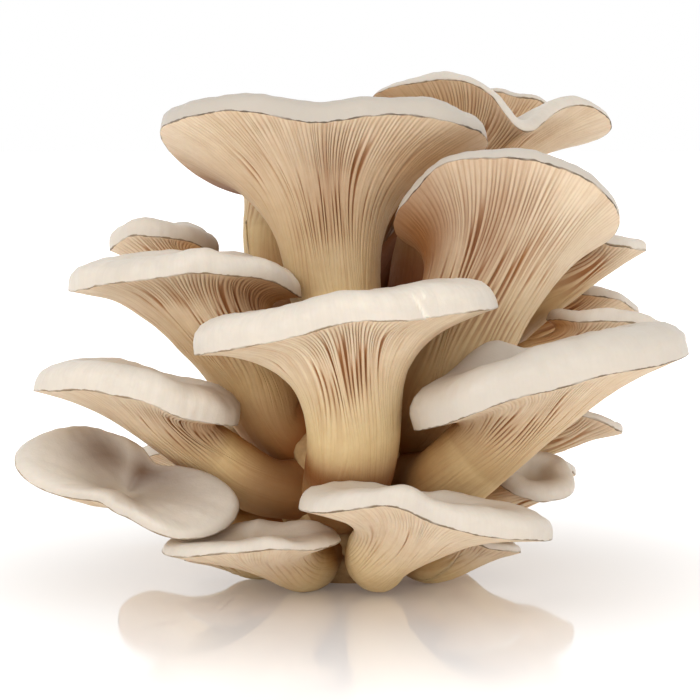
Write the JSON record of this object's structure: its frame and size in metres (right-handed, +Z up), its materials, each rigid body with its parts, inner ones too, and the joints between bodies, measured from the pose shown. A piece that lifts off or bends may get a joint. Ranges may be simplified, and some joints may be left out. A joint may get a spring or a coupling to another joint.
{
  "type": "oyster mushroom cluster",
  "caption": "Cluster of pale oyster mushrooms: fan-shaped caps with rolled margins and gilled undersides, in tiers on short curved stems that spring from one common foot with a flat cut face.",
  "frame": {"origin": "Centre of the flat face where the cluster was cut from its growing block, which rests on the surface it stands on.", "axes": "+Z is up, away from the cut face. -Y is the side that the largest gilled undersides face. +X is to the right of someone looking at that side, and is the cluster's longest extent."},
  "size_m": [0.1859, 0.1617, 0.1433],
  "materials": {
    "mushroom_flesh": "matte, slightly velvety",
    "foot_flesh": "matte, slightly fibrous"
  },
  "bodies": {
    "root": {"foot": "foot_flesh", "crown": "mushroom_flesh", "right_upper": "mushroom_flesh", "right_upper_lobe": "mushroom_flesh", "back_top_right": "mushroom_flesh", "back_top_small": "mushroom_flesh", "left_upper": "mushroom_flesh", "left_back_small": "mushroom_flesh", "centre_front": "mushroom_flesh", "left_middle": "mushroom_flesh", "left_low": "mushroom_flesh", "right_middle": "mushroom_flesh", "right_middle_back": "mushroom_flesh", "right_back": "mushroom_flesh", "right_low_back": "mushroom_flesh", "right_low": "mushroom_flesh", "front_right_low": "mushroom_flesh", "front_left_low": "mushroom_flesh", "right_bottom": "mushroom_flesh", "left_bottom": "mushroom_flesh", "back_upper_left": "mushroom_flesh", "back_top": "mushroom_flesh", "back_left_middle": "mushroom_flesh", "back_left_low": "mushroom_flesh", "back_centre_low": "mushroom_flesh", "back_right_low": "mushroom_flesh", "back_right_middle": "mushroom_flesh", "back_centre": "mushroom_flesh"}
  },
  "joints": []
}
